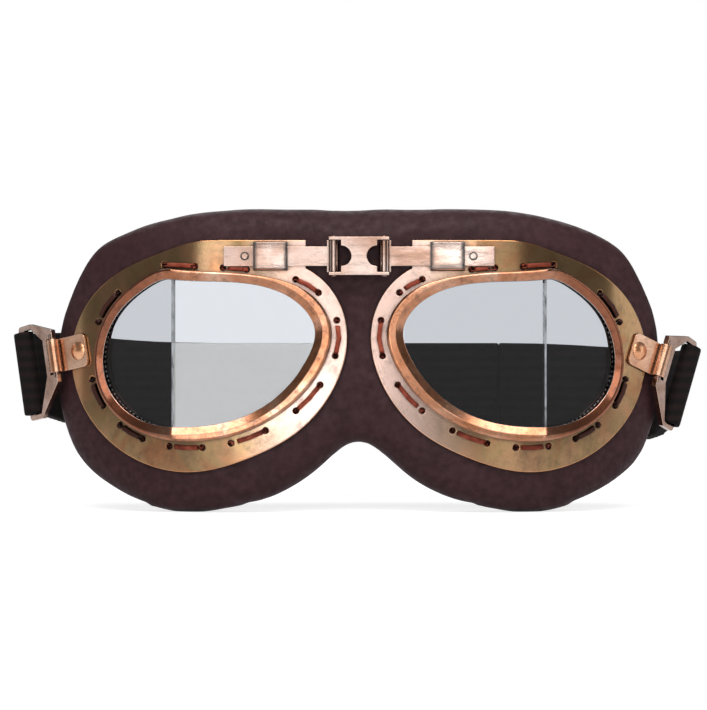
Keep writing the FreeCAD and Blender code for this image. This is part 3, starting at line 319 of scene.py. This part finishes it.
def makePileCloth():
    material, shader = newMaterial("blackPileCloth")
    place = addNode(material, "TexCoord").outputs["Object"]
    tufts = addNode(material, "TexNoise", values={"Scale": perMetre(pile["tuftSize"]), "Detail": 3.0},
                    links={"Vector": place}).outputs["Fac"]
    wear = addNode(material, "TexNoise", values={"Scale": perMetre(pile["wornSize"]), "Detail": 3.0},
                   links={"Vector": place}).outputs["Fac"]
    worn = addNode(material, "Math", {"operation": "MULTIPLY"}, links={0: tufts, 1: wear}).outputs[0]
    tone = addNode(material, "ValToRGB", links={"Fac": worn}, stops=[(0.12, "#070607"), (0.45, "#161315")])
    link(material, tone.outputs["Color"], shader.inputs["Base Color"])
    shader.inputs["Roughness"].default_value = pile["rough"]
    shader.inputs["Sheen Weight"].default_value = pile["sheen"]
    bump = addNode(material, "Bump", values={"Strength": pile["bump"], "Distance": pile["bumpDepth"] * mm},
                   links={"Height": tufts})
    link(material, bump.outputs["Normal"], shader.inputs["Normal"])
    return material


pileCloth = makePileCloth()


# woven elastic: ribs along the strap, crossed by weft threads drawn coarse enough to show
webbing = {"ribWidth": 1.6, "weftSize": 0.8, "ribShare": 0.5, "weftShare": 0.5, "rough": 0.85,
           "specular": 0.2, "bump": 0.6, "bumpDepth": 0.25}
waveTurn = 20  # radians that a wave texture of scale 1 turns in a metre, where half a turn is a rib


def makeElastic():
    material, shader = newMaterial("wovenBlackElastic")
    place = addNode(material, "TexCoord").outputs["Object"]
    ribScale = perMetre(webbing["ribWidth"]) / waveTurn * math.pi
    ribs = addNode(material, "TexWave", {"bands_direction": "Z"},
                   {"Scale": ribScale, "Distortion": 0.6, "Detail": 2.0}, {"Vector": place}).outputs["Fac"]
    weft = addNode(material, "TexNoise", values={"Scale": perMetre(webbing["weftSize"]), "Detail": 3.0},
                   links={"Vector": place}).outputs["Fac"]
    raised = addNode(material, "Math", {"operation": "MULTIPLY"}, {1: webbing["ribShare"]},
                     {0: ribs}).outputs[0]
    weave = addNode(material, "Math", {"operation": "MULTIPLY_ADD"}, {1: webbing["weftShare"]},
                    {0: weft, 2: raised}).outputs[0]
    tone = addNode(material, "ValToRGB", links={"Fac": weave}, stops=[(0.25, "#0a0505"), (0.75, "#1b100f")])
    link(material, tone.outputs["Color"], shader.inputs["Base Color"])
    shader.inputs["Roughness"].default_value = webbing["rough"]
    shader.inputs["Specular IOR Level"].default_value = webbing["specular"]
    bump = addNode(material, "Bump",
                   values={"Strength": webbing["bump"], "Distance": webbing["bumpDepth"] * mm},
                   links={"Height": weave})
    link(material, bump.outputs["Normal"], shader.inputs["Normal"])
    return material


elastic = makeElastic()


def dress(material, *names):
    for name in names:
        nodes[name].data.materials.clear()
        nodes[name].data.materials.append(material)


for side in ("left_", "right_"):
    dress(flangeCopper, side + "frame")
    dress(tabCopper, side + "strap_tab")
    dress(rivetCopper, side + "tab_rivet")
    dress(rimCopper, side + "rim")
    dress(fittingCopper, side + "bridge_arm", side + "hinge_pin", side + "strap_loop")
    dress(clipCopper, side + "bridge_clip")
    dress(studCopper, side + "stop_stud")
    dress(clearGlass, side + "front_lens", side + "side_lens")
    dress(blackRubber, side + "lens_gasket")
    dress(sealant, side + "lens_divider")
dress(fittingCopper, "bridge_link")
dress(blackEnamel, "strap_slider")
print("materials made")


# helpers for the modelled pieces

def addObject(name, data):
    obj = bpy.data.objects.new(name, data)
    scene.collection.objects.link(obj)
    return obj


def coat(mesh, material):  # one finish all over, shaded smooth
    mesh.materials.clear()
    mesh.materials.append(material)
    for face in mesh.polygons:
        face.use_smooth = True


def shaped(piece):  # the mesh that a piece's modifiers or bevel give
    return bpy.data.meshes.new_from_object(piece.evaluated_get(bpy.context.evaluated_depsgraph_get()))


def surfaceOf(*names):  # the faces of these solids, to measure from
    joined = bmesh.new()
    for name in names:
        joined.from_mesh(nodes[name].data)
    surface = BVHTree.FromBMesh(joined)
    joined.free()
    return surface


# soft pieces start as a copy of their solids, closed into one skin and smoothed
softCopy = {"mergeGap": 0.01, "smoothing": 0.5}


def workedCopy(name, sources, voxel, rounds, material):
    joined = bmesh.new()
    for source in sources:
        joined.from_mesh(nodes[source].data)
    bmesh.ops.remove_doubles(joined, verts=joined.verts, dist=softCopy["mergeGap"] * mm)
    bmesh.ops.recalc_face_normals(joined, faces=joined.faces)
    mesh = bpy.data.meshes.new(name)
    joined.to_mesh(mesh)
    joined.free()
    piece = addObject(name, mesh)
    skin = piece.modifiers.new("skin", "REMESH")
    skin.mode = "VOXEL"
    skin.voxel_size = voxel * mm
    soften = piece.modifiers.new("soften", "SMOOTH")
    soften.factor = softCopy["smoothing"]
    soften.iterations = rounds
    worked = shaped(piece)
    piece.modifiers.clear()
    piece.data = worked
    coat(worked, material)
    return piece


# padded mask: leather held at the flanges, the back and the floor, swollen by its filling, then creased
mask = {"voxel": 1.5, "rounds": 10, "held": 2.2, "heldBack": 0.2, "heldLow": 2, "slack": 0.5, "slackRise": 3,
        "mass": 0.0004, "pressure": 220, "frames": 20, "cap": 1.5, "still": 0.001,
        "crease": 0.35, "creaseSize": 13.0, "creaseRise": 6, "creaseLow": 1.5}


def swellMask(piece, gaps):
    held = piece.vertex_groups.new(name="held")
    for vert, gap in zip(piece.data.vertices, gaps):
        fixed = gap < mask["held"] or vert.normal.y > mask["heldBack"] or vert.co.z < mask["heldLow"] * mm
        held.add([vert.index], 1.0 if fixed else 0.0, "REPLACE")
        if not fixed:
            vert.co -= vert.normal * (mask["slack"] * mm * min(1.0, (gap - mask["held"]) / mask["slackRise"]))
    cloth = piece.modifiers.new("padding", "CLOTH").settings
    cloth.vertex_group_mass = "held"
    cloth.mass = mask["mass"]
    cloth.use_pressure = True
    cloth.uniform_pressure_force = mask["pressure"]
    cloth.effector_weights.gravity = 0
    for step in range(1, mask["frames"] + 1):
        scene.frame_set(step)
    swollen = shaped(piece)
    piece.modifiers.clear()
    scene.frame_set(1)
    furthest = 0.0
    for vert, pushed in zip(piece.data.vertices, swollen.vertices):
        move = pushed.co - vert.co
        furthest = max(furthest, move.length / mm)
        vert.co += move * min(1.0, mask["cap"] * mm / max(move.length, mask["still"] * mm))
    bpy.data.meshes.remove(swollen)
    piece.vertex_groups.remove(held)
    print("mask swollen, furthest", round(furthest, 2), "mm")


def creaseMask(mesh, flanges):
    normals = [vert.normal.copy() for vert in mesh.vertices]
    for vert, normal in zip(mesh.vertices, normals):
        away = flanges.find_nearest(vert.co)[3] / mm
        wave = noise.noise(vert.co / (mask["creaseSize"] * mm))
        crease = wave * mask["crease"] * min(1.0, away / mask["creaseRise"])
        if vert.co.z > mask["creaseLow"] * mm:
            vert.co += normal * (crease * mm)


def bendAtNose(piece):
    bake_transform(piece)


def makeMask():
    sources = [side + part for part in ("pad_cover", "pad_foam") for side in ("left_", "nose_", "right_")]
    piece = workedCopy("leatherMask", sources, mask["voxel"], mask["rounds"], maskLeather)
    flanges = surfaceOf("left_frame", "right_frame")
    swellMask(piece, [flanges.find_nearest(vert.co)[3] / mm for vert in piece.data.vertices])
    rounder = piece.modifiers.new("rounder", "SUBSURF")
    rounder.levels = 1
    rounder.render_levels = 1
    smooth = shaped(piece)
    piece.modifiers.clear()
    piece.data = smooth
    creaseMask(smooth, flanges)
    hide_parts(*sources)
    bendAtNose(piece)


makeMask()

# cloth on the back of the mask, and the sleeves that line the eye holes
lining = {"voxel": 0.6, "rounds": 25, "sleeveVoxel": 0.4, "sleeveRounds": 3}


def makeLinings():
    sources = [side + "pad_lining" for side in ("left_", "nose_", "right_")]
    piece = workedCopy("maskLining", sources, lining["voxel"], lining["rounds"], pileCloth)
    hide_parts(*sources)
    bendAtNose(piece)
    for side in ("left", "right"):
        sleeve = workedCopy(side + "EyeSleeve", [side + "_eye_lining"], lining["sleeveVoxel"],
                            lining["sleeveRounds"], pileCloth)
        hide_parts(side + "_eye_lining")
        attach(sleeve, side + "_eye")


makeLinings()
print("mask made")


# rolled edge of the sleeve behind the glass, with its stitches, seen on the temple side
sleeveEdge = {"radius": 1.35, "inset": 2.5, "sweep": 84, "step": 2, "fullest": -18, "taper": 1.35,
              "thinnest": 0.1, "roundness": 3,
              "pitch": 1.45, "length": 0.42, "thick": 0.26, "lean": 35.0}


# the middle and radius of the roll round the side pane, and the points of the seam that lies on it
def sleevePath(side, sign):
    turn = math.radians(eyeBend["turn"])
    along = Vector((sign * math.cos(turn), math.sin(turn), 0))
    facing = Vector((sign * math.sin(turn), -math.cos(turn), 0))
    depth = min(facing.dot(vert.co) for vert in nodes[side + "_side_lens"].data.vertices)
    low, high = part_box(side + "_side_lens")
    start = atNose(sign * eyeBend["split"], 0, 0)
    start.z = (low.z + high.z) / 2
    start += facing * (depth - sleeveEdge["inset"] * mm - facing.dot(start))
    wall = surfaceOf(side + "_eye_lining")
    lean = math.radians(sleeveEdge["lean"])
    line, seam = [], []
    for degree in range(-sleeveEdge["sweep"], sleeveEdge["sweep"] + 1, sleeveEdge["step"]):
        angle = math.radians(degree)
        outward = along * math.cos(angle) + Vector((0, 0, 1)) * math.sin(angle)
        hit = wall.ray_cast(start, outward)[0]
        share = math.cos(math.radians(min(90, abs(degree - sleeveEdge["fullest"]) * sleeveEdge["taper"])))
        thick = sleeveEdge["radius"] * mm * max(sleeveEdge["thinnest"], share)
        middle = hit - outward * thick
        line.append((middle, thick))
        seam.append(middle + (facing * math.cos(lean) - outward * math.sin(lean)) * thick)
    return line, seam


def finishTrim(name, mesh, material, side):
    coat(mesh, material)
    piece = addObject(name, mesh)
    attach(piece, side + "_eye")


def makeSleeveRoll(side, line):
    roll = bpy.data.curves.new(side + "SleeveEdge", "CURVE")
    roll.dimensions = "3D"
    roll.bevel_depth = 1.0  # each point's radius is then the roll's own
    roll.bevel_resolution = sleeveEdge["roundness"]
    roll.use_fill_caps = True
    spline = roll.splines.new("POLY")
    spline.points.add(len(line) - 1)
    for point, (middle, thick) in zip(spline.points, line):
        point.co = (*middle, 1)
        point.radius = thick
    curve = addObject(side + "SleeveRoll", roll)
    bpy.context.view_layer.update()
    mesh = shaped(curve)
    bpy.data.objects.remove(curve)
    finishTrim(side + "SleeveEdge", mesh, pileCloth, side)


def makeStitches(side, seam):
    thread = bmesh.new()
    thick = sleeveEdge["thick"] * mm
    pitch = sleeveEdge["pitch"] * mm
    travelled = 0.0
    for first, second in zip(seam, seam[1:]):
        step = second - first
        travelled += step.length
        while travelled > pitch:
            travelled -= pitch
            stitch = bmesh.ops.create_icosphere(thread, subdivisions=1, radius=thick)["verts"]
            bmesh.ops.scale(thread, vec=(1, 1, sleeveEdge["length"] / sleeveEdge["thick"]), verts=stitch)
            bmesh.ops.rotate(thread, matrix=step.to_track_quat("Z", "Y").to_matrix(), verts=stitch)
            bmesh.ops.translate(thread, vec=second - step.normalized() * travelled, verts=stitch)
    mesh = bpy.data.meshes.new(side + "LiningStitches")
    thread.to_mesh(mesh)
    thread.free()
    finishTrim(side + "LiningStitches", mesh, paleThread, side)


for side, sign in (("left", -1), ("right", 1)):
    line, seam = sleevePath(side, sign)
    makeSleeveRoll(side, line)
    makeStitches(side, seam)
print("sleeve edges made")


# leather lace: each span over the flange bends down into its two holes
lace = {"voxel": 0.22, "rounds": 6, "sink": 1.7, "steep": 0.7, "reach": 1.9, "facing": 0.75}


# the stretches of lace that lie on the flange's face, each point with the face's direction there
def spansOver(soft, flange):
    waiting = {}
    for vert in soft.verts:
        point, normal = flange.find_nearest(vert.co)[:2]
        across = vert.co.x - noseHinge.x
        turn = math.radians(eyeBend["turn"]) if abs(across) > eyeBend["split"] * mm else 0.0
        facing = Vector((math.copysign(math.sin(turn), across), -math.cos(turn), 0))
        if normal.dot(facing) > lace["facing"] and (vert.co - point).dot(normal) > 0:
            waiting[vert] = normal
    while waiting:
        start, normal = waiting.popitem()
        front = [start]
        span = {start: normal}
        while front:
            for edge in front.pop().link_edges:
                for vert in edge.verts:
                    if vert in waiting:
                        span[vert] = waiting.pop(vert)
                        front.append(vert)
        yield span


def makeLacing(side):
    piece = workedCopy(side + "Lace", [side + "_lacing"], lace["voxel"], lace["rounds"],
                       laceLeather)
    flange = surfaceOf(side + "_frame")
    soft = bmesh.new()
    soft.from_mesh(piece.data)
    moves = {}
    for span in spansOver(soft, flange):
        middle = sum((vert.co for vert in span), Vector()) / len(span)
        outward = sum(span.values(), Vector()).normalized()
        first = max(span, key=lambda vert: (vert.co - middle).length).co
        last = max(span, key=lambda vert: (vert.co - first).length).co
        heading = (last - first).normalized()
        for vert in span:
            along = (vert.co - first).dot(heading)
            fromEnd = min(along, (last - first).length - along) / mm
            share = min(1.0, max(0.0, (lace["reach"] - fromEnd) / (lace["reach"] - lace["steep"])))
            eased = share * share * (3 - 2 * share)
            moves[vert] = outward * (lace["sink"] * mm * eased)
    for vert, move in moves.items():
        vert.co -= move
    soft.to_mesh(piece.data)
    soft.free()
    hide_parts(side + "_lacing")
    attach(piece, side + "_eye")


for side in ("left", "right"):
    makeLacing(side)
print("lacing made")


# elastic strap: each strand is one piece of webbing, parted where another body takes it over
strap = {"voxel": 0.45, "rounds": 4, "leftPart": 0.45, "rightParts": (0.33, 0.66),
         "loopEnd": 4, "backEnd": 3, "foldNear": 14, "foldFar": 1}


def strapCopy(name, *sources):
    return workedCopy(name, sources, strap["voxel"], strap["rounds"], elastic)


def parted(source, name, y):
    pieces = []
    for label, flip in (("Near", False), ("Far", True)):
        cut = bmesh.new()
        cut.from_mesh(source.data)
        result = bmesh.ops.bisect_plane(
            cut, geom=cut.verts[:] + cut.edges[:] + cut.faces[:], plane_co=Vector((0, y, 0)),
            plane_no=Vector((0, 1, 0)), clear_outer=not flip, clear_inner=flip)
        rim = [item for item in result["geom_cut"] if isinstance(item, bmesh.types.BMEdge)]
        bmesh.ops.holes_fill(cut, edges=rim)
        mesh = bpy.data.meshes.new(name + label)
        cut.to_mesh(mesh)
        cut.free()
        piece = addObject(name + label, mesh)
        coat(mesh, elastic)
        pieces.append(piece)
    bpy.data.objects.remove(source)
    return pieces


def makeStrap():
    leftStrand = strapCopy("leftStrap", "strap_left_end", "strap_left_side", "strap_back")
    rightStrand = strapCopy("rightStrap", "strap_right_end", "strap_right_side")
    low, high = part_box("strap_left_side")
    firstY = low.y + (high.y - low.y) * strap["leftPart"]
    near, far = parted(leftStrand, "leftStrap", firstY)
    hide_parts("strap_left_end", "strap_left_side")
    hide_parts("strap_back")
    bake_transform(near)
    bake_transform(far)
    low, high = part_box("strap_right_side")
    firstY, secondY = [low.y + (high.y - low.y) * share for share in strap["rightParts"]]
    near, rest = parted(rightStrand, "rightStrap", firstY)
    middle, far = parted(rest, "rightStrapRest", secondY)
    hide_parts("strap_right_end")
    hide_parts("strap_right_side")
    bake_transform(near)
    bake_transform(middle)
    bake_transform(far)
    fold = strapCopy("strapReturn", "strap_return")
    low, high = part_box("strap_return")
    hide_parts("strap_return")
    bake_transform(fold)


makeStrap()
print("strap made")


# floor, background and lights
stage = {"left": -900, "front": -440, "width": 1800, "depth": 860, "drop": 0.02,
         "glow": 0.75, "mirrored": 0.7}


# share of the background that a ray sees: all of it straight, or as much as comes through glass,
# and part of it in a mirror
def seenShare(holder, mirrored, through=None):
    path = addNode(holder, "LightPath")
    clear = path.outputs["Is Transmission Ray"]
    if through:
        clear = addNode(holder, "Math", {"operation": "MULTIPLY"}, links={0: clear, 1: through}).outputs[0]
    straight = addNode(holder, "Math", {"operation": "MAXIMUM"},
                       links={0: path.outputs["Is Camera Ray"], 1: clear})
    glossy = addNode(holder, "Math", {"operation": "MULTIPLY"}, {1: mirrored},
                     {0: path.outputs["Is Glossy Ray"]})
    return addNode(holder, "Math", {"operation": "MAXIMUM"},
                   links={0: straight.outputs[0], 1: glossy.outputs[0]}).outputs[0]


# white floor paper, dull, which still shows the shadow
def makePaper():
    material, shader = newMaterial("whiteFloorPaper")
    shader.inputs["Base Color"].default_value = linear("#b8b8ba")
    shader.inputs["Roughness"].default_value = 0.9
    glow = addNode(material, "Math", {"operation": "MULTIPLY"}, {1: stage["glow"]},
                   {0: seenShare(material, stage["mirrored"])})
    shader.inputs["Emission Color"].default_value = (1, 1, 1, 1)
    link(material, glow.outputs[0], shader.inputs["Emission Strength"])
    return material


def makeFloor():
    corner = atNose(stage["left"], stage["front"], -stage["drop"])
    sheet = bmesh.new()
    corners = [sheet.verts.new(corner + Vector((stage["width"] * a, stage["depth"] * b, 0)) * mm)
               for a, b in ((0, 0), (1, 0), (1, 1), (0, 1))]
    sheet.faces.new(corners)
    mesh = bpy.data.meshes.new("floor")
    sheet.to_mesh(mesh)
    sheet.free()
    mesh.materials.append(makePaper())
    addObject("floor", mesh)


makeFloor()

# panels of a light wall behind the camera: left, right, low and high edge, then the face's brightness
lightWall = -900
wallPanels = {
    "leftWall": (-380, -136, 2, 560, 2.4),
    "veilLow": (-123, -27, -5, 53.9, 8.2),
    "veilHigh": (-123, -27, 54, 95, 2.8),
    "noseWall": (-26, 32, -5, 95, 1.8),
    "bridgeWallLeft": (-87, 30, 96, 150, 1.6),
    "bridgeWallRight": (31, 98, 96, 150, 3.8),
    "topWall": (-135, 380, 151, 560, 2.6),
    "rightWall": (140, 380, 2, 95, 2.4)}

# soft panels turned to the middle of the goggles: place, width and height, then power
softPanels = {
    "highPanel": ((0, -470, 820), (760, 620), 7.4),
    "backPanel": ((0, 700, 620), (900, 500), 3.2),
    "leftSide": ((-900, -20, 200), (380, 420), 0.3),
    "rightSide": ((900, -150, 260), (500, 500), 0.95)}
gogglesMiddle = atNose(0, 10, 45)


def addPanel(name, place, target, size, power):
    lamp = bpy.data.lights.new(name, "AREA")
    lamp.shape = "RECTANGLE"
    lamp.size = size[0] * mm
    lamp.size_y = size[1] * mm
    lamp.energy = power
    panel = addObject(name, lamp)
    panel.location = place
    panel.rotation_euler = (target - place).to_track_quat("-Z", "Y").to_euler()
    panel.visible_camera = False


for name, (left, right, low, high, level) in wallPanels.items():
    place = atNose((left + right) / 2, lightWall, (low + high) / 2)
    area = (right - left) * (high - low) * mm * mm
    addPanel(name, place, place + Vector((0, 1, 0)), (right - left, high - low), level * math.pi * area)
for name, (place, size, power) in softPanels.items():
    addPanel(name, atNose(*place), gogglesMiddle, size, power)

# white to the eye and through glass, dim as a light: a ray that glass turns back to the front sees less
room = {"dim": 0.19, "mirrored": 0.04, "turnedBack": 0.25, "blur": 0.1}
world = bpy.data.worlds.new("studio")
world.use_nodes = True
sky = world.node_tree.nodes["Background"]
sky.inputs["Color"].default_value = (1, 1, 1, 1)
aim = addNode(world, "SeparateXYZ", links={"Vector": addNode(world, "TexCoord").outputs["Generated"]})
through = addNode(world, "MapRange", values={"From Min": -room["blur"], "From Max": room["blur"],
                                             "To Min": room["turnedBack"], "To Max": 1.0},
                  links={"Value": aim.outputs["Y"]})
brightness = addNode(world, "MapRange", values={"To Min": room["dim"], "To Max": 1.0},
                     links={"Value": seenShare(world, room["mirrored"], through.outputs["Result"])})
link(world, brightness.outputs["Result"], sky.inputs["Strength"])
scene.world = world

view = {"place": (-1.6, -700, 46), "sensor": 36, "lens": 122.4}
lens = bpy.data.cameras.new("camera")
lens.sensor_width = view["sensor"]
lens.lens = view["lens"]
camera = addObject("camera", lens)
camera.location = atNose(*view["place"])
camera.rotation_euler = (math.pi / 2, 0, 0)
scene.camera = camera
print("stage set")
